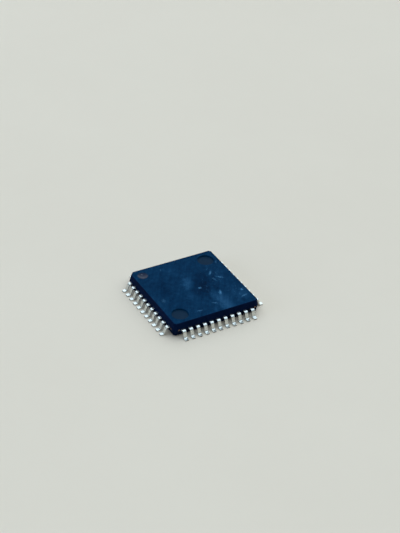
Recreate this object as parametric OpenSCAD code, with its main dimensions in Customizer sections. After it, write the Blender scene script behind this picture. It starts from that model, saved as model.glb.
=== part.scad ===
// Quad flat pack chip with gull-wing leads, millimetres.
// The origin is the middle of the board surface that the feet stand on, +Z up.
// Pin 1 is at the -X +Y corner, and the pins run anticlockwise seen from above.

/* [Body] */
// Side of the moulded body at its parting line
body_side = 10; // [10:0.1:14]
// Height of the moulded body
body_height = 1.4; // [1.1:0.05:2.4]
// Gap between the board and the underside of the body
standoff = 0.1; // [0.05:0.01:0.3]
// Draft of the mould's walls, in degrees
draft_angle = 12; // [4:1:15]
// Leg of the wide bevel at the pin 1 corner
pin1_bevel = 0.5; // [0.4:0.02:0.7]
// Leg of the bevel at the other three corners
corner_bevel = 0.28; // [0.2:0.02:0.4]
// Break along the rims of the top and of the underside
rim_break = 0.05; // [0.02:0.01:0.1]

/* [Marks in the moulding] */
// Diameter of an ejector pin mark
ejector_d = 1.75; // [1:0.05:2.4]
// Depth of an ejector pin mark
ejector_depth = 0.15; // [0.04:0.01:0.2]
// Distance from two sides of the body to the middle of an ejector pin mark
ejector_inset = 1.5; // [1.4:0.05:2]
// Diameter of the round dimple that marks pin 1
dimple_d = 1.1; // [0.6:0.05:1.4]
// Depth of the dimple that marks pin 1
dimple_depth = 0.12; // [0.05:0.01:0.2]
// Distance from two sides of the body to the middle of the dimple
dimple_inset = 1.17; // [1:0.01:1.6]

/* [Leads] */
// Number of leads on each side
leads_per_side = 11; // [5:1:11]
// Distance from one lead to the next
lead_pitch = 0.8; // [0.5:0.05:0.8]
// Width of a lead
lead_w = 0.37; // [0.2:0.01:0.45]
// Thickness of the lead frame
frame_t = 0.125; // [0.1:0.005:0.2]
// Distance from the body's side to the tip of the foot
lead_reach = 1; // [0.9:0.05:1.5]
// Flat length of a lead before its first bend
shoulder_flat = 0.18; // [0.08:0.01:0.25]
// Slope of a lead between its bends, in degrees from the board
lead_angle = 72; // [65:1:85]
// Inner radius of the two bends
bend_r = 0.18; // [0.08:0.01:0.2]
// Stub that the trimmed dam bar leaves on each edge of a lead
dambar_stub = 0.02; // [0.01:0.005:0.04]
// Width that the dam bar had
dambar_w = 0.1; // [0.05:0.01:0.14]

/* [Inside] */
// Side of the paddle under the die
paddle_side = 5; // [4:0.1:6]
// Depth of the paddle below the plane of the leads
downset = 0.2; // [0.15:0.01:0.3]
// Width of the tie bars that carry the paddle
tie_bar_w = 0.2; // [0.12:0.01:0.25]
// Distance from two sides of the body to the fork of a tie bar
fork_inset = 0.57; // [0.54:0.01:0.6]
// Height by which the cut end of a tie bar stands proud of the body
tie_bar_proud = 0.03; // [0.01:0.01:0.05]
// Gap between the paddle and the fingertips of the leads
finger_gap = 0.35; // [0.2:0.01:0.5]
// Width of a lead's inner fingertip
fingertip_w = 0.22; // [0.12:0.01:0.25]
// Straight length of a finger behind the body's side
finger_straight = 0.45; // [0.3:0.05:0.6]
// Least gap between a tie bar and the fingertip next to it
tie_bar_clearance = 0.15; // [0.1:0.01:0.3]
// Side of the silicon die
die_side = 3.5; // [2:0.1:4.4]
// Thickness of the silicon die
die_t = 0.28; // [0.15:0.01:0.35]
// Thickness of the adhesive under the die
attach_t = 0.025; // [0.02:0.005:0.05]
// Fillet of adhesive that shows beyond each edge of the die
attach_rim = 0.06; // [0.02:0.01:0.1]
// Thickness of a bond wire
wire_t = 0.03; // [0.02:0.005:0.04]
// Height of a wire's loop above the die
wire_loop = 0.16; // [0.1:0.01:0.2]
// Distance from the die's edge to the row of wires
bond_inset = 0.12; // [0.08:0.01:0.2]
// Distance from the die's corner to the first wire
bond_corner_gap = 0.35; // [0.25:0.01:0.6]
// Distance from a fingertip to the end of its wire
stitch_inset = 0.2; // [0.15:0.01:0.3]

/* [Hidden] */
SIDES = ["left", "front", "right", "back"];
lead_count = len(SIDES) * leads_per_side;
function lead_name(n) = str("lead_", n < 10 ? "0" : "", n);
function wires_name(side) = str("bond_wires_", SIDES[side]);

// Steps in each bend, and facets of the round marks
bend_steps = 6;
mark_fn = 64;
// Length by which solids that are one piece run into each other
weld = 0.2;
// Length by which a cutter runs past the face that it opens
past = 0.1;

body_half = body_side / 2;
body_top = standoff + body_height;
// The lead frame lies at half the body's height, and its two faces are the parting lines
frame_mid = standoff + body_height / 2;
frame_top = frame_mid + frame_t / 2;
frame_low = frame_mid - frame_t / 2;
bend_mid_r = bend_r + frame_t / 2;
middle_lead = (leads_per_side - 1) / 2;

paddle_mid = frame_mid - downset;
attach_low = paddle_mid + frame_t / 2;
die_low = attach_low + attach_t;
die_top = die_low + die_t;
fingertip_x = paddle_side / 2 + finger_gap;
// The outermost fingertip keeps its clearance from the tie bar on the diagonal
fingertip_row = fingertip_x - fingertip_w / 2 - sqrt(2) * (tie_bar_w / 2 + tie_bar_clearance);
fingertip_pitch = fingertip_row / middle_lead;
bond_pitch = (die_side / 2 - bond_corner_gap) / middle_lead;

// Left normal of the line from a to b
function left_normal(a, b) = let (d = (b - a) / norm(b - a)) [-d.y, d.x];

// Corner i of a path moved sideways by d, mitred between the two lines that meet there
function side_point(path, i, d) =
    let (
        last = len(path) - 1,
        before = max(i - 1, 0),
        after = min(i, last - 1),
        m = left_normal(path[before], path[before + 1]) + left_normal(path[after], path[after + 1])
    )
    path[i] + d * 2 * m / (m * m);

// Outline of a strip of thickness t along a path, with square ends
function strip(path, t) = concat(
    [for (i = [0 : len(path) - 1]) side_point(path, i, t / 2)],
    [for (i = [len(path) - 1 : -1 : 0]) side_point(path, i, -t / 2)]
);

// Arc round a centre from angle a to angle b
function arc(centre, r, a, b) = [
    for (i = [0 : bend_steps])
        let (angle = a + (b - a) * i / bend_steps)
        centre + r * [cos(angle), sin(angle)]
];

// Stands a strip that was drawn in the plane of X and Z up, w wide, and points it outward
module upright_strip(path, t, w) {
    rotate([90, 0, 0]) linear_extrude(w, center = true) polygon(strip(path, t));
}

// Turns what was made for the right side to side 0 left, 1 front, 2 right or 3 back
module on_side(side) {
    rotate([0, 0, 180 + 90 * side]) children();
}

// ---- Moulded body ----

// Inset of the drafted wall at height z, and how far that shortens a bevel's leg
function wall_inset(z) = tan(draft_angle) * max(frame_low - z, z - frame_top, 0);
function bevel_leg(leg, inset) = leg - inset * (2 - sqrt(2));

// Eight corners of the body's outline with its walls moved in by an inset, anticlockwise
function body_ring(z, inset) =
    let (
        h = body_half - inset,
        a = bevel_leg(pin1_bevel, inset),
        b = bevel_leg(corner_bevel, inset)
    )
    [
        [-h, h - a, z], [-h, -h + b, z], [-h + b, -h, z], [h - b, -h, z],
        [h, -h + b, z], [h, h - b, z], [h - b, h, z], [-h + a, h, z]
    ];

module body_blank() {
    low_rim = standoff + rim_break;
    top_rim = body_top - rim_break;
    rings = [
        body_ring(standoff, wall_inset(low_rim) + rim_break),
        body_ring(low_rim, wall_inset(low_rim)),
        body_ring(frame_low, 0),
        body_ring(frame_top, 0),
        body_ring(top_rim, wall_inset(top_rim)),
        body_ring(body_top, wall_inset(top_rim) + rim_break)
    ];
    corners = len(rings[0]);
    walls = [
        for (k = [0 : len(rings) - 2], j = [0 : corners - 1])
            let (next = (j + 1) % corners, low = k * corners, high = low + corners)
            [low + j, high + j, high + next, low + next]
    ];
    underside = [for (j = [0 : corners - 1]) j];
    top = [for (j = [corners - 1 : -1 : 0]) (len(rings) - 1) * corners + j];
    polyhedron([for (ring = rings) each ring], concat(walls, [underside, top]));
}

// Shallow flat marks of the ejector pins, on a diagonal of the top and of the underside
module ejector_marks() {
    place = body_half - ejector_inset;
    for (end = [-1, 1], z = [body_top - ejector_depth, standoff - past])
        translate([end * place, end * place, z])
            cylinder(h = ejector_depth + past, d = ejector_d, $fn = mark_fn);
}

// Round bowl beside pin 1: a ball whose cap has the dimple's diameter and depth
module pin1_dimple() {
    ball_r = (pow(dimple_d / 2, 2) + pow(dimple_depth, 2)) / (2 * dimple_depth);
    place = body_half - dimple_inset;
    translate([-place, place, body_top - dimple_depth + ball_r]) sphere(r = ball_r, $fn = mark_fn);
}

module mould_body() {
    color("#0d2238")
    difference() {
        body_blank();
        ejector_marks();
        pin1_dimple();
        die_pad();
        die_attach();
        die();
        for (side = [0 : len(SIDES) - 1]) bond_wires(side);
        for (n = [1 : lead_count]) lead(n);
    }
}

// ---- Lead frame ----

// Gull wing outside the body: flat shoulder, two bends and a flat foot on the board
module gull_wing() {
    foot_mid = frame_t / 2;
    drop = frame_mid - foot_mid;
    slope_run = (drop - 2 * bend_mid_r * (1 - cos(lead_angle))) / tan(lead_angle);
    knee_x = body_half + shoulder_flat;
    heel_x = knee_x + 2 * bend_mid_r * sin(lead_angle) + slope_run;
    path = concat(
        [[body_half - weld, frame_mid]],
        arc([knee_x, frame_mid - bend_mid_r], bend_mid_r, 90, 90 - lead_angle),
        arc([heel_x, foot_mid + bend_mid_r], bend_mid_r, 270 - lead_angle, 270),
        [[body_half + lead_reach, foot_mid]]
    );
    upright_strip(path, frame_t, lead_w);
}

// Finger inside the body, from the side at row place y to its tip beside the paddle
module finger(y, tip_y) {
    bend_x = body_half - finger_straight;
    translate([0, 0, frame_low])
    linear_extrude(frame_t)
    polygon([
        [body_half, y - lead_w / 2], [body_half, y + lead_w / 2],
        [bend_x, y + lead_w / 2], [fingertip_x, tip_y + fingertip_w / 2],
        [fingertip_x, tip_y - fingertip_w / 2], [bend_x, y - lead_w / 2]
    ]);
}

module dambar_stubs() {
    stub_span = lead_w + 2 * dambar_stub;
    translate([body_half + shoulder_flat - dambar_w, -stub_span / 2, frame_low])
        cube([dambar_w, stub_span, frame_t]);
}

// Lead n, counted from pin 1
module lead(n) {
    side = floor((n - 1) / leads_per_side);
    place = (n - 1) % leads_per_side - middle_lead;
    color("gainsboro")
    on_side(side) {
        translate([0, place * lead_pitch, 0]) {
            gull_wing();
            dambar_stubs();
        }
        finger(place * lead_pitch, place * fingertip_pitch);
    }
}

// Strip on the diagonal that rises from the paddle's corner to the plane of the leads
module tie_bar(end_d) {
    corner_d = paddle_side / sqrt(2);
    rise_start = corner_d + weld;
    path = [
        [corner_d - weld, paddle_mid], [rise_start, paddle_mid],
        [rise_start + downset, frame_mid], [end_d, frame_mid]
    ];
    rotate([0, 0, 45]) upright_strip(path, frame_t, tie_bar_w);
}

// The tie bar ends in a fork, with one leg cut off at each of the two sides
module forked_tie_bar() {
    fork = body_half - fork_inset;
    end = body_half + tie_bar_proud;
    root = fork - tie_bar_w / 2;
    tie_bar(fork * sqrt(2));
    translate([root, root, frame_low]) cube([end - root, tie_bar_w, frame_t]);
    translate([root, root, frame_low]) cube([tie_bar_w, end - root, frame_t]);
}

// The wide bevel leaves no room for a fork, so the bar at pin 1 runs straight out of it
module straight_tie_bar() {
    tie_bar((2 * body_half - pin1_bevel) / sqrt(2) + tie_bar_proud);
}

module die_pad() {
    color("#b87345")
    union() {
        translate([-paddle_side / 2, -paddle_side / 2, paddle_mid - frame_t / 2])
            cube([paddle_side, paddle_side, frame_t]);
        for (turn = [0, 180, 270]) rotate([0, 0, turn]) forked_tie_bar();
        rotate([0, 0, 90]) straight_tie_bar();
    }
}

// ---- Die and its wires ----

module die_attach() {
    side = die_side + 2 * attach_rim;
    color("silver")
    translate([-side / 2, -side / 2, attach_low]) cube([side, side, attach_t]);
}

module die() {
    color("#59606e")
    translate([-die_side / 2, -die_side / 2, die_low]) cube([die_side, die_side, die_t]);
}

// One wire: a foot on the die, a loop, and a flat stitch on the fingertip
module bond_wire(start, stop) {
    run = norm(stop - start);
    shoulder = 0.06;
    stitch = 0.08;
    lie_z = frame_top + wire_t / 2;
    foot = 2 * wire_t;
    path = [
        [0, die_top], [0, die_top + wire_loop - shoulder], [shoulder, die_top + wire_loop],
        [run / 3, die_top + wire_loop], [run - stitch, lie_z], [run, lie_z]
    ];
    translate([start.x, start.y, 0])
    rotate([0, 0, atan2(stop.y - start.y, stop.x - start.x)]) {
        upright_strip(path, wire_t, wire_t);
        translate([-foot / 2, -foot / 2, die_top]) cube([foot, foot, wire_t / 2]);
    }
}

module bond_wires(side) {
    color("gold")
    on_side(side)
    for (place = [-middle_lead : middle_lead])
        bond_wire(
            [die_side / 2 - bond_inset, place * bond_pitch],
            [fingertip_x + stitch_inset, place * fingertip_pitch]
        );
}

mould_body();
die_pad();
die_attach();
die();
for (side = [0 : len(SIDES) - 1]) bond_wires(side);
for (n = [1 : lead_count]) lead(n);
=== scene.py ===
"""Looks of a 44-lead quad flat pack chip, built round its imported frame.

The frame is in metres, +Z up, with its origin on the board under the middle of the chip. Shapes are
worked out here in millimetres and made metres as their meshes are built. Pin 1 is at the -X +Y corner.
"""
import math

import bmesh
import bpy
import numpy as np
from mathutils import Matrix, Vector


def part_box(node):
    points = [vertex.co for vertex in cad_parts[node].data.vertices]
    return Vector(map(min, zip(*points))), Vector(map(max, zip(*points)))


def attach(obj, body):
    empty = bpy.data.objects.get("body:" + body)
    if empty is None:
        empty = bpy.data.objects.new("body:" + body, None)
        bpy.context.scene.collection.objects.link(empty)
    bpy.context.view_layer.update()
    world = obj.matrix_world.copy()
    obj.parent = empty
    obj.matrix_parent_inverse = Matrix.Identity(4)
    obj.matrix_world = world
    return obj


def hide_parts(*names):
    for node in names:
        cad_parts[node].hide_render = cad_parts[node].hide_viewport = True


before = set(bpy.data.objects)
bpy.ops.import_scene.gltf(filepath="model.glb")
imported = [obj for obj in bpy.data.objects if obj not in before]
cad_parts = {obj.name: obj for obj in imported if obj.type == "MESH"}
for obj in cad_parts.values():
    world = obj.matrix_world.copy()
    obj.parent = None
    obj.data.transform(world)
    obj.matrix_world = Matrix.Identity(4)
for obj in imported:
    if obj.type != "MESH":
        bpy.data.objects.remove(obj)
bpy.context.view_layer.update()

MM = 0.001

# ---- Sizes in millimetres, read from the frame or set here ----

SIDES = 4
LEADS_PER_SIDE = sum(name.startswith("lead_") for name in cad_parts) // SIDES
MIDDLE = (LEADS_PER_SIDE - 1) // 2


def lead_name(number):
    return f"lead_{number:02d}"


body_low, body_high = (np.array(corner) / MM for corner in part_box("mould_body"))
middle_low, middle_high = (np.array(corner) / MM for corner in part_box(lead_name(MIDDLE + 1)))
first_low, first_high = (np.array(corner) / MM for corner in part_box(lead_name(1)))

BODY_HALF = body_high[0]
BODY_LOW = body_low[2]
BODY_TOP = body_high[2]
FRAME_T = 0.125
FRAME_TOP = middle_high[2]
FRAME_MID = FRAME_TOP - FRAME_T / 2
FRAME_LOW = FRAME_TOP - FRAME_T
DRAFT = math.radians(12)
PIN1_BEVEL = 0.5
CORNER_BEVEL = 0.28

# The dam bar between the leads is punched out, and leaves a stub this long on each side of a lead
DAMBAR_STUB = 0.02
DAMBAR_W = 0.1
LEAD_W = middle_high[1] - middle_low[1] - 2 * DAMBAR_STUB
LEAD_TIP = -middle_low[0]
FINGERTIP_X = -middle_high[0]
FINGERTIP_W = 0.22
FINGER_BEND_X = BODY_HALF - 0.45
LEAD_PITCH = (first_high[1] - middle_high[1]) / MIDDLE
FINGERTIP_PITCH = (first_low[1] + FINGERTIP_W / 2) / MIDDLE
SHOULDER_FLAT = 0.18
LEAD_ANGLE = math.radians(72)
# Radius of a bend's middle line: 0.18 inside, and half the strip
BEND_R = 0.18 + FRAME_T / 2

EJECTOR_D = 1.75
EJECTOR_DEPTH = 0.15
EJECTOR_PLACE = BODY_HALF - 1.5
DIMPLE_D = 1.1
DIMPLE_DEPTH = 0.12
DIMPLE_PLACE = BODY_HALF - 1.17

# ---- Camera ----

CAMERA_AZIMUTH = math.radians(-32.381)
CAMERA_ELEVATION = math.radians(35.372)
CAMERA_ROLL = math.radians(4.114)
# Place along the camera's own right, up and back axes, in millimetres from the origin
CAMERA_PLACE = np.array([0.7965, 3.2385, 139.8505])
CAMERA_LENS = 91.31
SENSOR = 36


def make_camera():
    """The camera's axes are turned by azimuth, elevation and roll, and its place is given along them."""
    back = np.array([
        math.sin(CAMERA_AZIMUTH) * math.cos(CAMERA_ELEVATION),
        -math.cos(CAMERA_AZIMUTH) * math.cos(CAMERA_ELEVATION),
        math.sin(CAMERA_ELEVATION),
    ])
    level = np.cross([0, 0, 1], back)
    level /= np.linalg.norm(level)
    rise = np.cross(back, level)
    right = level * math.cos(CAMERA_ROLL) + rise * math.sin(CAMERA_ROLL)
    up = rise * math.cos(CAMERA_ROLL) - level * math.sin(CAMERA_ROLL)
    axes = np.stack([right, up, back], axis=1)
    data = bpy.data.cameras.new("camera")
    data.sensor_width = SENSOR
    data.lens = CAMERA_LENS
    data.clip_start = 0.001
    data.clip_end = 20
    camera = bpy.data.objects.new("camera", data)
    bpy.context.scene.collection.objects.link(camera)
    pose = np.eye(4)
    pose[:3, :3] = axes
    pose[:3, 3] = axes @ CAMERA_PLACE * MM
    camera.matrix_world = Matrix(pose.tolist())
    bpy.context.scene.camera = camera


# ---- Meshes ----


def grid_quads(rows, columns, closed):
    """Quads of a grid whose point in row r, column c is number r * columns + c; closed joins its two ends."""
    last = columns if closed else columns - 1
    r, c = np.meshgrid(np.arange(rows - 1), np.arange(last), indexing="ij")
    after = (c + 1) % columns
    corners = [r * columns + c, r * columns + after, (r + 1) * columns + after, (r + 1) * columns + c]
    return np.stack(corners, axis=-1).reshape(-1, 4)


def tube(points, number):
    """Patch of a grid whose rows are closed loops, with its material number."""
    return points, grid_quads(points.shape[0], points.shape[1], True), number


def make_piece(name, patches, materials):
    """One closed mesh of patches, each a grid of points in millimetres, its quads and a material number.

    Patches share the points along their seams, which are merged, and all faces are then turned outward.
    """
    counts = [patch[0].size // 3 for patch in patches]
    starts = np.cumsum([0] + counts[:-1])
    points = np.concatenate([patch[0].reshape(-1, 3) for patch in patches])
    quads = np.concatenate([patch[1] + start for patch, start in zip(patches, starts)])
    numbers = np.concatenate([np.full(len(patch[1]), patch[2]) for patch in patches])
    mesh = bpy.data.meshes.new(name)
    mesh.from_pydata((points * MM).tolist(), [], quads.tolist())
    mesh.polygons.foreach_set("material_index", numbers.astype(np.int32))
    mesh.polygons.foreach_set("use_smooth", np.ones(len(quads), bool))
    for material in materials:
        mesh.materials.append(material)
    shell = bmesh.new()
    shell.from_mesh(mesh)
    bmesh.ops.remove_doubles(shell, verts=shell.verts, dist=2e-7)
    bmesh.ops.recalc_face_normals(shell, faces=shell.faces)
    shell.to_mesh(mesh)
    shell.free()
    piece = bpy.data.objects.new(name, mesh)
    bpy.context.scene.collection.objects.link(piece)
    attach(piece, "root")
    return piece


def unit(vector):
    return vector / np.linalg.norm(vector)


def fillet(corner, before, after, radius, steps):
    """Arc that touches the lines from a corner towards two points, from the first line to the second.

    Its points are the arc's centre plus a radius turned evenly from one touching point to the other.
    """
    u = unit(np.subtract(before, corner))
    v = unit(np.subtract(after, corner))
    half = math.acos(float(np.clip(u @ v, -1, 1))) / 2
    centre = corner + unit(u + v) * radius / math.sin(half)
    first = corner + u * radius / math.tan(half) - centre
    last = corner + v * radius / math.tan(half) - centre
    sweep = math.pi - 2 * half
    t = np.linspace(0, 1, steps + 1)[:, None]
    return centre + (np.sin((1 - t) * sweep) * first + np.sin(t * sweep) * last) / math.sin(sweep)


def turn(points, quarters):
    """Points turned about the Z axis by a number of quarter turns, anticlockwise seen from above."""
    c, s = ((1, 0), (0, 1), (-1, 0), (0, -1))[quarters % 4]
    turned = points.copy()
    turned[..., 0] = c * points[..., 0] - s * points[..., 1]
    turned[..., 1] = s * points[..., 0] + c * points[..., 1]
    return turned


def at_height(points, z):
    """Plan points given the height z."""
    return np.concatenate([points, np.full(points.shape[:-1] + (1,), z)], axis=-1)


# ---- Moulded body ----

# Points along one side of the body: half a bevel, a rounded edge, the flat, and the same again
BEVEL_STEPS = 3
EDGE_STEPS = 4
SIDE_STEPS = 90
EDGE_R = 0.05
RIM_R = 0.06
# Half of the square field of the top and underside that is one even grid, and the grid's spacing
FIELD_HALF = 4.5
FIELD_STEP = 2 * FIELD_HALF / SIDE_STEPS
# Half of the square of the field that a mark takes the place of
EJECTOR_SQUARE = 1.0
DIMPLE_SQUARE = 0.7
# Distance to the extra row of points that keeps a rounding's shading off the flat beside it
HOLD = 0.015
# Ridge of resin that seeps out between the halves of the mould: how far it stands out, half the width of
# its crest and of its foot, and the narrow land where the drafted walls meet the parting line
FLASH = 0.0096
FLASH_CREST = 0.006
FLASH_FOOT = 0.02
LAND = 0.02
LAND_INSET = 0.004
# Roundings of the ejector marks' wall and of the bowl's lip, and how far the wall leans in at its foot
MARK_R = 0.03
BOWL_LIP_R = 0.06
MARK_LEAN = 0.012


def side_run(half, first_leg, last_leg):
    """Points down the left side, from the middle of one bevel up to the middle of the next."""
    start = np.array([-half + first_leg / 2, half - first_leg / 2])
    upper = np.array([-half, half - first_leg])
    lower = np.array([-half, -half + last_leg])
    stop = np.array([-half + last_leg / 2, -half + last_leg / 2])
    first_edge = fillet(upper, start, lower, EDGE_R, EDGE_STEPS)
    last_edge = fillet(lower, upper, stop, EDGE_R, EDGE_STEPS)
    flat_steps = SIDE_STEPS - 2 * (BEVEL_STEPS + EDGE_STEPS)
    return np.concatenate([
        np.linspace(start, first_edge[0], BEVEL_STEPS, endpoint=False),
        first_edge[:-1],
        np.linspace(first_edge[-1], last_edge[0], flat_steps, endpoint=False),
        last_edge[:-1],
        np.linspace(last_edge[-1], stop, BEVEL_STEPS, endpoint=False),
    ])


def body_outline(inset):
    """The body's outline with its walls moved in; a bevel's leg shortens by inset * (2 - sqrt 2)."""
    shorter = inset * (2 - math.sqrt(2))
    bevels = [PIN1_BEVEL - shorter] + [CORNER_BEVEL - shorter] * 3
    runs = [side_run(BODY_HALF - inset, bevels[k], bevels[(k + 1) % SIDES]) for k in range(SIDES)]
    return np.concatenate([turn(run, k) for k, run in enumerate(runs)])


def wall_profile():
    """Inset and height up the wall: rim arc, lower draft, parting line with its flash, upper draft, rim arc.

    A drafted wall's inset grows by the draft's tangent for each millimetre away from the leads.
    """
    low_inset = math.tan(DRAFT) * (FRAME_LOW - BODY_LOW)
    top_inset = math.tan(DRAFT) * (BODY_TOP - FRAME_TOP)
    low_rim = fillet([low_inset, BODY_LOW], [BODY_HALF, BODY_LOW], [0, FRAME_LOW], RIM_R, 6)
    top_rim = fillet([top_inset, BODY_TOP], [0, FRAME_TOP], [BODY_HALF, BODY_TOP], RIM_R, 6)
    parting = [
        [LAND_INSET, FRAME_LOW - LAND], [0, FRAME_LOW], [0, FRAME_MID - FLASH_FOOT],
        [-FLASH, FRAME_MID - FLASH_CREST], [-FLASH, FRAME_MID + FLASH_CREST],
        [0, FRAME_MID + FLASH_FOOT], [0, FRAME_TOP], [LAND_INSET, FRAME_TOP + LAND],
    ]
    return np.concatenate([
        [low_rim[0] + [HOLD, 0]], low_rim,
        np.linspace(low_rim[-1], parting[0], 5)[1:-1],
        parting,
        np.linspace(parting[-1], top_rim[0], 5)[1:-1],
        top_rim, [top_rim[-1] + [HOLD, 0]],
    ])


def ejector_profile():
    """Radius and depth of an ejector mark, from its middle out: flat floor, steep wall and rounded lip."""
    radius = EJECTOR_D / 2
    foot = [radius - MARK_LEAN, EJECTOR_DEPTH]
    floor = np.array([[0, EJECTOR_DEPTH], [radius / 2, EJECTOR_DEPTH], [radius - 0.08, EJECTOR_DEPTH]])
    wall = np.concatenate([
        fillet(foot, [0, EJECTOR_DEPTH], [radius, 0], MARK_R, EDGE_STEPS),
        fillet([radius, 0], foot, [2 * radius, 0], MARK_R, EDGE_STEPS),
        [[radius + MARK_R + HOLD, 0]],
    ])
    return floor, wall


def dimple_profile():
    """Radius and depth of the pin 1 dimple: a cap of a ball, then a rounded lip.

    The ball's radius is (radius squared + depth squared) / twice the depth.
    """
    radius = DIMPLE_D / 2
    ball = (radius ** 2 + DIMPLE_DEPTH ** 2) / (2 * DIMPLE_DEPTH)
    r = np.linspace(0, radius - MARK_R, 12)
    depth = DIMPLE_DEPTH - (ball - np.sqrt(ball ** 2 - r ** 2))
    bowl = np.stack([r, depth], axis=1)
    lip = np.concatenate([
        fillet([radius, 0], bowl[-1], [2 * radius, 0], BOWL_LIP_R, EDGE_STEPS),
        [[radius + MARK_R + HOLD, 0]],
    ])
    return bowl, lip


def square_walk(half):
    """Field points round a square, down its left side first, as the body's outline runs."""
    steps = int(round(2 * half / FIELD_STEP))
    run = np.stack([np.full(steps, -half), half - FIELD_STEP * np.arange(steps)], axis=1)
    return np.concatenate([turn(run, k) for k in range(SIDES)])


def round_mark(place, half, profiles, z, down):
    """Rings round a mark in a square of the field.

    Each profile point is a distance along the lines from the mark's middle to the square's edge.
    """
    centre = np.array(place, float)
    square = np.round(centre / FIELD_STEP) * FIELD_STEP
    edge = square + square_walk(half)
    spokes = edge - centre
    spokes /= np.linalg.norm(spokes, axis=1, keepdims=True)

    def rings(profile):
        plan = centre + profile[:, None, :1] * spokes[None]
        depth = np.broadcast_to(profile[:, None, 1:], plan.shape[:2] + (1,))
        return np.concatenate([plan, z - down * depth], axis=-1)

    inner, outer = (rings(profile) for profile in profiles)
    outer = np.concatenate([outer, at_height(edge, z)[None]])
    return np.concatenate([inner, outer[:1]]), outer, square


def body_face(z, down, marks, face_number):
    """Patches of the top or the underside: the field without its marks' squares, the marks, and the border."""
    line = FIELD_STEP * (np.arange(SIDE_STEPS + 1) - SIDE_STEPS / 2)
    x, y = np.meshgrid(line, line, indexing="ij")
    field = np.stack([x, y, np.full_like(x, z)], axis=-1)
    quads = grid_quads(SIDE_STEPS + 1, SIDE_STEPS + 1, False)
    middles = field.reshape(-1, 3)[quads].mean(axis=1)[:, :2]
    kept = np.ones(len(quads), bool)
    patches = []
    for place, half, profiles, number in marks:
        inner, outer, square = round_mark(place, half, profiles, z, down)
        patches += [tube(inner, number), tube(outer, face_number)]
        kept &= np.abs(middles - square).max(axis=1) > half
    edge = body_outline(wall_profile()[0, 0])
    border = np.stack([at_height(square_walk(FIELD_HALF), z), at_height(edge, z)])
    return [(field, quads[kept], face_number), *patches, tube(border, face_number)]


TOP, WALL, EJECTOR, DIMPLE, UNDERSIDE = range(5)


def make_body(materials):
    """The moulding: two faces with their marks, joined by the walls, whose profile follows the outline."""
    ejector = ejector_profile()
    ejectors = [([end * EJECTOR_PLACE] * 2, EJECTOR_SQUARE, ejector, EJECTOR) for end in (-1, 1)]
    dimple = ([-DIMPLE_PLACE, DIMPLE_PLACE], DIMPLE_SQUARE, dimple_profile(), DIMPLE)
    walls = np.stack([at_height(body_outline(inset), z) for inset, z in wall_profile()])
    patches = body_face(BODY_TOP, 1, [*ejectors, dimple], TOP)
    patches += body_face(BODY_LOW, -1, ejectors, UNDERSIDE)
    patches.append(tube(walls, WALL))
    body = make_piece("moulded_body", patches, materials)
    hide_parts("mould_body")


# ---- Leads ----

BEND_STEPS = 12
# Rounding of a lead's long edges, left by the punch and the plating
LEAD_EDGE_R = 0.02
LEAD_EDGE_STEPS = 3
# Length over which a dam bar stub rises, and the depth of the edge rounded by the shear at each end
STUB_RAMP = 0.02
SHEAR = 0.006
# Least and most foot angle in degrees, and the spread of a toe's sideways lean and of a foot's twist in degrees
FOOT_ANGLES = (0.3, 2.5)
LEAN = 0.008
TWIST = 0.9
TIN, TOE = range(2)


def lead_path(foot_angle):
    """Middle line of a lead from fingertip to toe, as x, z and the slope below the level.

    The line is level to the knee, turns down by an arc to the lead's angle, runs straight, and turns back
    by an arc to the foot's own small angle. The foot's length is the one that makes the straight meet both.
    """
    knee = BODY_HALF + SHOULDER_FLAT
    sine, cosine = math.sin(LEAD_ANGLE), math.cos(LEAD_ANGLE)
    foot_sine, foot_cosine = math.sin(foot_angle), math.cos(foot_angle)
    toe = np.array([LEAD_TIP - FRAME_T / 2 * foot_sine, FRAME_T / 2 * foot_cosine])
    first_end = np.array([knee + BEND_R * sine, FRAME_MID - BEND_R * (1 - cosine)])
    offset = toe + BEND_R * np.array([foot_sine - sine, foot_cosine - cosine]) - first_end
    foot = (cosine * offset[1] + sine * offset[0]) / math.sin(LEAD_ANGLE - foot_angle)
    heel = toe - foot * np.array([foot_cosine, -foot_sine])
    centre = heel + BEND_R * np.array([foot_sine, foot_cosine])

    down = np.linspace(0, LEAD_ANGLE, BEND_STEPS)
    back = np.linspace(LEAD_ANGLE, foot_angle, BEND_STEPS)
    first_bend = np.stack([knee + BEND_R * np.sin(down), FRAME_MID - BEND_R * (1 - np.cos(down))], axis=1)
    second_bend = centre - BEND_R * np.stack([np.sin(back), np.cos(back)], axis=1)
    level_x = np.concatenate([
        [FINGERTIP_X, FINGERTIP_X + HOLD], np.linspace(FINGERTIP_X + 2 * HOLD, FINGER_BEND_X, 6),
        [BODY_HALF - HOLD, BODY_HALF], np.linspace(knee - DAMBAR_W - HOLD, knee - HOLD, 12),
    ])
    level = np.stack([level_x, np.full_like(level_x, FRAME_MID)], axis=1)
    slope = np.linspace(first_bend[-1], second_bend[0], 6)[1:-1]
    sole = np.linspace(second_bend[-1], toe, 10)[1:]
    path = np.concatenate([level, first_bend, slope, second_bend, sole])
    angles = np.concatenate([
        np.zeros(len(level)), down, np.full(len(slope), LEAD_ANGLE), back, np.full(len(sole), foot_angle),
    ])
    return path, angles


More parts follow.
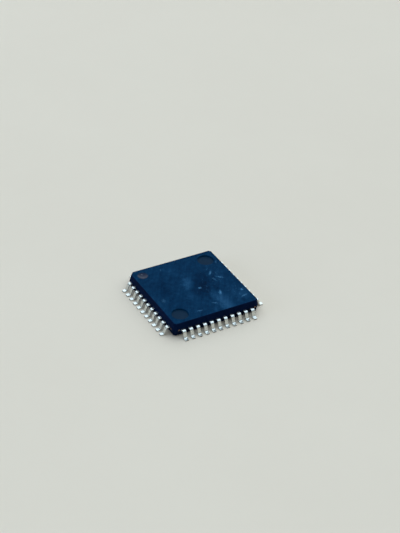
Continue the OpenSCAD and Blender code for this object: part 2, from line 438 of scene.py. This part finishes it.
def lead_section():
    """Columns round a strip's rounded section: sign of the half width, offset from it, and height v."""
    quarter = np.linspace(0, math.pi / 2, LEAD_EDGE_STEPS + 1)
    signs, offsets, heights = [], [], []
    half_t = FRAME_T / 2
    for k, (across, over) in enumerate([(1, 1), (-1, 1), (-1, -1), (1, -1)]):
        theta = quarter + k * math.pi / 2
        side_hold = (0.0, over * (half_t - LEAD_EDGE_R - HOLD))
        face_hold = (-across * (LEAD_EDGE_R + HOLD), over * half_t)
        arc = np.stack([
            -across * LEAD_EDGE_R + LEAD_EDGE_R * np.cos(theta),
            over * (half_t - LEAD_EDGE_R) + LEAD_EDGE_R * np.sin(theta),
        ], axis=1)
        corner = [side_hold, *arc, face_hold] if k % 2 == 0 else [face_hold, *arc, side_hold]
        signs += [across] * len(corner)
        offsets += [point[0] for point in corner]
        heights += [point[1] for point in corner]
    return np.array(signs), np.array(offsets), np.array(heights)


def lead_patches(place, foot_angle, skew, roll):
    """A lead of the right side: its section carried along its path, and closed at the fingertip and the toe.

    Its width and its place across grow evenly from the fingertip to where the finger straightens. The skew
    and the roll grow evenly from the knee to the toe. A foot that would dip below the board is lifted by
    the same measure, and the lift too grows evenly from the knee.
    """
    path, angles = lead_path(foot_angle)
    signs, offsets, heights = lead_section()
    x = path[:, 0]
    fan = np.clip((x - FINGERTIP_X) / (FINGER_BEND_X - FINGERTIP_X), 0, 1)
    out = np.clip((x - BODY_HALF - SHOULDER_FLAT) / (LEAD_TIP - BODY_HALF - SHOULDER_FLAT), 0, 1)
    middle = place * (FINGERTIP_PITCH + (LEAD_PITCH - FINGERTIP_PITCH) * fan) + skew * out
    knee = BODY_HALF + SHOULDER_FLAT
    rise = np.clip((x - knee + DAMBAR_W) / STUB_RAMP + 0.5, 0, 1)
    stub = rise * np.clip((knee - x) / STUB_RAMP - 0.25, 0, 1)
    width = FINGERTIP_W + (LEAD_W - FINGERTIP_W) * fan + 2 * DAMBAR_STUB * stub * (angles == 0)

    def loop(row, shrink, push):
        """The section at one row of the path, shrunk and pushed along the path."""
        u = (signs * width[row] / 2 + offsets) * shrink
        v = heights * shrink + roll * out[row] * u
        run = np.array([math.cos(angles[row]), -math.sin(angles[row])])
        up = np.array([math.sin(angles[row]), math.cos(angles[row])])
        spot = path[row] + run * push
        return np.stack([spot[0] + up[0] * v, middle[row] + u, spot[1] + up[1] * v], axis=1)

    rows = [loop(0, 0.9, 0), loop(0, 1, SHEAR)]
    rows += [loop(row, 1, 0) for row in range(1, len(path) - 1)]
    rows += [loop(-1, 1, -2 * SHEAR), loop(-1, 0.98, -SHEAR), loop(-1, 0.93, 0)]
    strip = np.stack(rows)
    tip = np.stack([loop(0, shrink, 0) for shrink in (0.9, 0.5, 0)])
    toe = np.stack([loop(-1, shrink, 0) for shrink in (0.93, 0.8, 0.4, 0)])
    grids = [strip, tip, toe]
    lift = max(0, -min(grid[..., 2].min() for grid in grids))
    for grid in grids:
        grid[..., 2] += lift * np.clip((grid[..., 0] - knee) / (LEAD_TIP - knee), 0, 1)
    return [tube(strip, TIN), tube(tip, TIN), tube(toe, TOE)]


def make_leads(materials):
    """Every lead has its own slight foot angle, lean and twist, as trimming and handling leave them."""
    draw = np.random.default_rng(44)
    for number in range(1, SIDES * LEADS_PER_SIDE + 1):
        side, row = divmod(number - 1, LEADS_PER_SIDE)
        foot_angle = math.radians(draw.uniform(*FOOT_ANGLES))
        skew = draw.normal(0, LEAN)
        roll = math.tan(math.radians(draw.normal(0, TWIST)))
        patches = lead_patches(row - MIDDLE, foot_angle, skew, roll)
        turned = [(turn(grid, side + 2), quads, material) for grid, quads, material in patches]
        lead = make_piece(f"formed_{lead_name(number)}", turned, materials)
        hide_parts(lead_name(number))


# ---- Materials ----


def linear(code):
    """sRGB hex colour as the linear red, green, blue and alpha that a shader takes."""
    srgb = np.array([int(code[i:i + 2], 16) for i in (1, 3, 5)]) / 255
    rgb = np.where(srgb <= 0.04045, srgb / 12.92, ((srgb + 0.055) / 1.055) ** 2.4)
    return (*rgb.tolist(), 1.0)


def add(tree, kind, inputs=None, **settings):
    """Adds a node: settings are its own, and each input is given a value or the output that feeds it."""
    node = tree.nodes.new("ShaderNode" + kind)
    for key, value in settings.items():
        setattr(node, key, value)
    for key, value in (inputs or {}).items():
        if isinstance(value, bpy.types.NodeSocket):
            tree.links.new(value, node.inputs[key])
        else:
            node.inputs[key].default_value = value
    return node


def new_material(name, roughness, metallic=0.0, specular=0.5):
    """A Principled material and its Object coordinates in millimetres."""
    material = bpy.data.materials.new(name)
    material.use_nodes = True
    tree = material.node_tree
    shader = tree.nodes["Principled BSDF"]
    shader.inputs["Roughness"].default_value = roughness
    shader.inputs["Metallic"].default_value = metallic
    if not metallic:
        shader.inputs["Specular IOR Level"].default_value = specular
    place = add(tree, "TexCoord").outputs["Object"]
    millimetres = add(tree, "Mapping", {"Vector": place, "Scale": (1 / MM,) * 3}).outputs["Vector"]
    return material, tree, shader, millimetres


def blend(tree, factor, *colours):
    """Colour that passes evenly through a list of hex colours as a factor goes from 0 to 1."""
    ramp = add(tree, "ValToRGB", {"Fac": factor})
    stops = ramp.color_ramp.elements
    while len(stops) < len(colours):
        stops.new(0.5)
    for place, (stop, code) in enumerate(zip(stops, colours)):
        stop.position = place / (len(colours) - 1)
    for stop, code in zip(stops, colours):
        stop.color = linear(code)
    return ramp.outputs["Color"]


def grain(tree, shader, millimetres, size, height):
    """Bump of an even grain: noise whose lumps are a size across, raised by a height, both in millimetres."""
    lumps = add(tree, "TexNoise", {"Vector": millimetres, "Scale": 1 / size, "Detail": 3.0, "Roughness": 0.6})
    bump = add(tree, "Bump", {"Height": lumps.outputs["Fac"], "Distance": height * MM, "Strength": 1.0})
    tree.links.new(bump.outputs["Normal"], shader.inputs["Normal"])
    return lumps.outputs["Fac"], bump


def plain_epoxy(name, low, high, roughness, specular, size, height):
    """Filled epoxy moulding compound, cast in a steel mould: near black with a cold cast and hardly any shine.

    It is mottled a little over about a millimetre. The mould's texture and the glass filler are 5 to 30
    micrometres across, too fine to show, so the grain is drawn at 50 to 70 micrometres.
    """
    material, tree, shader, millimetres = new_material(name, roughness, specular=specular)
    mottle = add(tree, "TexNoise", {"Vector": millimetres, "Scale": 0.9, "Detail": 5.0, "Roughness": 0.6})
    tree.links.new(blend(tree, mottle.outputs["Fac"], low, high), shader.inputs["Base Color"])
    grain(tree, shader, millimetres, size, height)
    return material


# Direction in which the top was wiped, in degrees from +X, and the length and width of its streaks
WIPE = 57
STREAK = (2.2, 0.3, 1)
# Broad lighter and darker patches on the top: middle x and y, half width, half length, direction of the length
# in degrees from +X, and weight, which is below nothing where the top is darker
PATCHES = (
    (-0.25, 0.75, 0.85, 1.8, 62, 0.38),
    (-1.1, -1.5, 0.6, 1.3, 75, 0.16),
    (0.95, -0.3, 1.6, 3.0, 62, -0.36),
    (1.9, -1.3, 0.9, 1.2, 40, -0.14),
    (-3.1, 0.5, 1.2, 2.9, 66, -0.20),
    (1.6, -4.0, 4.2, 1.3, 3, 0.42),
    (3.9, -3.2, 1.4, 1.9, 0, 0.24),
    (3.3, 0.6, 0.9, 0.8, 0, 0.12),
    (-4.6, -1.6, 0.5, 2.6, 90, 0.14),
    (-0.9, 3.4, 1.9, 0.7, 25, 0.10),
)
# Areas where the film is rubbed through in short scuffs, given in the same way
WORN_AREAS = (
    (2.8, 0.8, 1.7, 1.9, 60, 0.75),
    (3.6, -2.6, 1.4, 2.0, 30, 0.5),
    (1.0, -0.6, 1.6, 2.0, 0, 0.4),
)
# Small bruises that show pale, given in the same way
BRUISES = (
    (4.28, -2.62, 0.17, 0.17, 0, 0.9),
    (0.45, -0.58, 0.2, 0.34, 20, 0.5),
    (2.02, -2.1, 0.17, 0.5, 62, 0.8),
    (0.62, -3.42, 0.14, 0.5, 150, 0.35),
    (-1.42, -3.9, 0.14, 0.45, 170, 0.35),
    (3.95, -3.6, 0.16, 0.6, 15, 0.4),
    (-3.95, -0.9, 0.3, 0.5, 70, 0.2),
    (-1.7, 3.9, 0.12, 0.4, 55, 0.2),
    (4.35, 2.75, 0.1, 0.35, 60, 0.3),
    (2.75, 1.25, 0.14, 0.5, 50, 0.55),
    (3.3, 0.25, 0.12, 0.7, 140, 0.4),
    (2.6, 0.1, 0.1, 0.5, 110, 0.35),
)


def spots(tree, place, marks):
    """Sum of soft oval spots, each worth its weight at its middle and falling smoothly to nothing."""
    total = 0.0
    for x, y, across, along, direction, weight in marks:
        oval = add(tree, "Mapping", {
            "Vector": place, "Location": (x, y, 0), "Rotation": (0, 0, math.radians(direction)),
            "Scale": (along, across, 1e6),
        }, vector_type="TEXTURE")
        reach = add(tree, "VectorMath", {0: oval.outputs["Vector"]}, operation="LENGTH")
        spot = add(tree, "MapRange", {
            "Value": reach.outputs["Value"], "From Min": 1.0, "From Max": 0.0, "To Max": weight,
        }, interpolation_type="SMOOTHSTEP")
        total = add(tree, "Math", {0: spot.outputs["Result"], 1: total}, operation="ADD").outputs[0]
    return total


def wiped_epoxy_top():
    """Epoxy moulded against a spark-eroded face, then wiped: dull navy with slanting streaks, and broad lighter
    and darker patches.

    The wipe leaves streaks about 0.3 mm wide and 2 mm long. The spark-eroded grain is 20 to 40 micrometres
    across, too fine to show, so it is drawn at 70.
    """
    material, tree, shader, millimetres = new_material("epoxy_spark_eroded_wiped", 0.55, specular=0.01)
    drift = add(tree, "TexNoise", {"Vector": millimetres, "Scale": 1.1, "Detail": 4.0, "Roughness": 0.6})
    shift = add(tree, "VectorMath", {0: drift.outputs["Color"], 1: (0.5, 0.5, 0.5)}, operation="SUBTRACT")
    torn = add(tree, "VectorMath", {0: shift.outputs["Vector"], 1: (1.3, 1.3, 0), 2: millimetres},
               operation="MULTIPLY_ADD").outputs["Vector"]
    slant = add(tree, "Mapping", {
        "Vector": millimetres, "Rotation": (0, 0, math.radians(WIPE)), "Scale": STREAK,
    }, vector_type="TEXTURE")
    streaks = add(tree, "TexNoise", {
        "Vector": slant.outputs["Vector"], "Scale": 1.0, "Detail": 4.0, "Roughness": 0.6,
    })
    mottle = add(tree, "TexNoise", {"Vector": millimetres, "Scale": 2.2, "Detail": 5.0, "Roughness": 0.65})
    film = add(tree, "Math", {
        0: streaks.outputs["Fac"], 1: 0.55, 2: spots(tree, torn, PATCHES),
    }, operation="MULTIPLY_ADD")
    film = add(tree, "Math", {0: mottle.outputs["Fac"], 1: 0.65, 2: film.outputs[0]}, operation="MULTIPLY_ADD")
    level = add(tree, "MapRange", {"Value": film.outputs[0], "From Min": 0.2, "From Max": 1.1})
    dull = blend(tree, level.outputs["Result"], "#001830", "#00213c", "#052d4a", "#113958", "#1e4767")

    tatter = add(tree, "TexNoise", {"Vector": millimetres, "Scale": 7.0, "Detail": 3.0, "Roughness": 0.6})
    jog = add(tree, "VectorMath", {0: tatter.outputs["Color"], 1: (0.5, 0.5, 0.5)}, operation="SUBTRACT")
    ragged = add(tree, "VectorMath", {0: jog.outputs["Vector"], 1: (0.45, 0.45, 0), 2: millimetres},
                 operation="MULTIPLY_ADD").outputs["Vector"]

    # Scuffs: thin ridges of a noise, kept to the worn areas, and the separate bruises
    scratches = add(tree, "TexNoise", {
        "Vector": torn, "Scale": 2.6, "Detail": 3.0, "Roughness": 0.7, "Distortion": 0.6,
    })
    ridge = add(tree, "MapRange", {"Value": scratches.outputs["Fac"], "From Min": 0.6, "From Max": 0.74})
    worn = spots(tree, millimetres, WORN_AREAS)
    scuffs = add(tree, "Math", {
        0: ridge.outputs["Result"], 1: worn, 2: spots(tree, ragged, BRUISES),
    }, operation="MULTIPLY_ADD", use_clamp=True)
    colour = add(tree, "Mix", {
        "Factor": scuffs.outputs[0], "A": dull, "B": linear("#4f86ad"),
    }, data_type="RGBA")
    tree.links.new(colour.outputs["Result"], shader.inputs["Base Color"])
    grain(tree, shader, millimetres, 0.07, 0.006)
    return material


def matte_tin_plating():
    """Matt tin plated on copper alloy: pale grey metal, softly bright, so that each bend draws a pale band.

    Its crystals are about 5 micrometres across, too fine to show, so the grain is drawn at 50.
    """
    material, tree, shader, millimetres = new_material("matte_tin_plating", 0.26, metallic=1.0)
    cloud = add(tree, "TexNoise", {"Vector": millimetres, "Scale": 2.5, "Detail": 4.0, "Roughness": 0.6})
    tree.links.new(blend(tree, cloud.outputs["Fac"], "#c8cbc8", "#d6d9d6"), shader.inputs["Base Color"])
    grain(tree, shader, millimetres, 0.05, 0.002)
    return material


def sheared_toe_painted_shade():
    """End of a lead where it was cut off: brown copper alloy, mostly smeared over with dull tin, and darker
    still as painted shade of the end face.
    """
    material, tree, shader, millimetres = new_material("sheared_copper_and_tin_painted_shade", 0.5, metallic=1.0)
    smear = add(tree, "TexNoise", {"Vector": millimetres, "Scale": 9.0, "Detail": 3.0, "Roughness": 0.6})
    # Partly the cut copper and tin, partly painted shade: the end face is coloured darker than these metals are
    tree.links.new(blend(tree, smear.outputs["Fac"], "#6a5a4c", "#85887f"), shader.inputs["Base Color"])
    grain(tree, shader, millimetres, 0.04, 0.004)
    return material


def copper_alloy():
    """Bare rolled copper alloy of the lead frame: pinkish metal, dulled brown where it meets the air."""
    material, tree, shader, millimetres = new_material("copper_alloy_cut", 0.45, metallic=1.0)
    tarnish = add(tree, "TexNoise", {"Vector": millimetres, "Scale": 6.0, "Detail": 4.0, "Roughness": 0.6})
    tree.links.new(blend(tree, tarnish.outputs["Fac"], "#5d4a40", "#9c8476"), shader.inputs["Base Color"])
    grain(tree, shader, millimetres, 0.05, 0.004)
    return material


def silver_epoxy():
    """Die adhesive: epoxy full of silver flakes, a soft metallic grey.

    The flakes are under 20 micrometres across, too fine to show, so they are drawn at 40.
    """
    material, tree, shader, millimetres = new_material("silver_filled_epoxy", 0.55, metallic=0.8)
    flakes = add(tree, "TexVoronoi", {"Vector": millimetres, "Scale": 25.0})
    tree.links.new(blend(tree, flakes.outputs["Distance"], "#c9c9c4", "#8f8f8a"), shader.inputs["Base Color"])
    grain(tree, shader, millimetres, 0.04, 0.003)
    return material


def silicon():
    """Polished silicon with its circuit: a blue-grey mirror crossed by blocks 0.42 mm long and 0.3 mm wide."""
    material, tree, shader, millimetres = new_material("polished_silicon", 0.18, metallic=0.6)
    blocks = add(tree, "TexBrick", {
        "Vector": millimetres, "Color1": linear("#49566e"), "Color2": linear("#6c6f86"),
        "Mortar": linear("#a89a78"), "Scale": 1.0, "Mortar Size": 0.012,
        "Brick Width": 0.42, "Row Height": 0.3,
    })
    tree.links.new(blocks.outputs["Color"], shader.inputs["Base Color"])
    grain(tree, shader, millimetres, 0.05, 0.0005)
    return material


def gold_wire():
    """Drawn gold wire: warm, bright and smooth, with die lines too fine to show."""
    material, tree, shader, millimetres = new_material("drawn_gold", 0.22, metallic=1.0)
    cloud = add(tree, "TexNoise", {"Vector": millimetres, "Scale": 8.0, "Detail": 2.0})
    tree.links.new(blend(tree, cloud.outputs["Fac"], "#e0ac4c", "#f2cc77"), shader.inputs["Base Color"])
    grain(tree, shader, millimetres, 0.02, 0.0005)
    return material


def give(node, material):
    """Puts a material on every slot of a CAD node."""
    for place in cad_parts[node].material_slots:
        place.material = material


# ---- Floor, lights and world ----

# Radii in millimetres where the floor starts to rise and where it ends as a backdrop, and the backdrop's height
FLOOR_FLAT = 700
FLOOR_END = 1300
BACKDROP_HEIGHT = 380


def make_floor():
    """A wide round pale sheet whose rim sweeps up as a backdrop: height = top * (1 - cos(angle)).

    The angle goes from nothing where the flat ends to a quarter turn at the rim.
    """
    turns = np.linspace(0, 2 * math.pi, 96, endpoint=False)
    radii = np.concatenate([np.geomspace(10, FLOOR_FLAT, 12), np.linspace(FLOOR_FLAT, FLOOR_END, 24)[1:]])
    radii = np.concatenate([[0.0], radii])
    angle = np.clip((radii - FLOOR_FLAT) / (FLOOR_END - FLOOR_FLAT), 0, 1) * math.pi / 2
    radius, around = np.meshgrid(radii, turns, indexing="ij")
    height = np.broadcast_to((BACKDROP_HEIGHT * (1 - np.cos(angle)))[:, None], radius.shape)
    points = np.stack([radius * np.cos(around), radius * np.sin(around), height], axis=-1)
    mesh = bpy.data.meshes.new("floor")
    quads = grid_quads(*radius.shape, True)[:, ::-1]
    mesh.from_pydata((points.reshape(-1, 3) * MM).tolist(), [], quads.tolist())
    material, tree, shader, millimetres = new_material("pale_sheet", 0.75, specular=0.3)
    mottle = add(tree, "TexNoise", {"Vector": millimetres, "Scale": 0.02, "Detail": 6.0, "Roughness": 0.7})
    tree.links.new(blend(tree, mottle.outputs["Fac"], "#d8c8b6", "#dfd0be"), shader.inputs["Base Color"])
    grain(tree, shader, millimetres, 0.6, 0.01)
    mesh.materials.append(material)
    floor = bpy.data.objects.new("floor", mesh)
    bpy.context.scene.collection.objects.link(floor)


def make_lamp(name, direction, distance, size, energy, colour):
    """A square softbox in a direction from the chip, in metres, that faces the chip."""
    data = bpy.data.lights.new(name, "AREA")
    data.shape = "SQUARE"
    data.size = size
    data.energy = energy
    data.color = linear(colour)[:3]
    lamp = bpy.data.objects.new(name, data)
    back = unit(np.array(direction, float))
    side = unit(np.cross([0, 1, 0.01], back))
    pose = np.eye(4)
    pose[:3, :3] = np.stack([side, np.cross(back, side), back], axis=1)
    pose[:3, 3] = back * distance
    lamp.matrix_world = Matrix(pose.tolist())
    bpy.context.scene.collection.objects.link(lamp)


# Direction that the sky light comes from, and the cosines of the angles from it where it starts and is full
SKY = (0.35, 0.25, 0.903)
SKY_EDGE = 0.42
SKY_CORE = 0.72


def make_world():
    """Sky light that rises smoothly from dim grey away from its direction to bright and cool towards it."""
    world = bpy.data.worlds.new("studio")
    world.use_nodes = True
    tree = world.node_tree
    direction = add(tree, "TexCoord").outputs["Generated"]
    toward = add(tree, "VectorMath", {0: direction, 1: SKY}, operation="DOT_PRODUCT").outputs["Value"]
    level = add(tree, "MapRange", {
        "Value": toward, "From Min": SKY_EDGE, "From Max": SKY_CORE,
    }, interpolation_type="SMOOTHSTEP")
    light = blend(tree, level.outputs["Result"], "#55585a", "#dcf0fd")
    background = tree.nodes["Background"]
    tree.links.new(light, background.inputs["Color"])
    background.inputs["Strength"].default_value = 1.65
    bpy.context.scene.world = world


make_camera()
make_floor()
make_world()
# A broad softbox behind the chip, a small one above it for the glint in the bowl, and a weak fill on the left
make_lamp("back_softbox", (0.35, 0.72, 0.6), 0.5, 0.5, 0.3, "#eef6ff")
make_lamp("small_softbox", (0.33, 0.36, 0.87), 0.45, 0.04, 0.06, "#eef6ff")
make_lamp("left_fill", (-0.93, 0.2, 0.3), 0.5, 0.3, 0.8, "#b8d8ff")

make_body([
    wiped_epoxy_top(),
    # The walls are coloured darker than the top and the underside: painted shade on the moulding's sides
    plain_epoxy("epoxy_drafted_wall_painted_shade", "#010a1c", "#06183a", 0.45, 0.012, 0.05, 0.003),
    plain_epoxy("epoxy_ejector_face", "#0a2236", "#10293d", 0.55, 0.03, 0.06, 0.003),
    plain_epoxy("epoxy_polished_dimple", "#03122a", "#061b38", 0.12, 0.15, 0.05, 0.0002),
    plain_epoxy("epoxy_spark_eroded", "#0b2540", "#123455", 0.55, 0.08, 0.07, 0.005),
])
make_leads([matte_tin_plating(), sheared_toe_painted_shade()])
give("die_pad", copper_alloy())
give("die_attach", silver_epoxy())
give("die", silicon())
wire_material = gold_wire()
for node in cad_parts:
    if node.startswith("bond_wires_"):
        give(node, wire_material)

bpy.context.scene.view_settings.view_transform = "Standard"
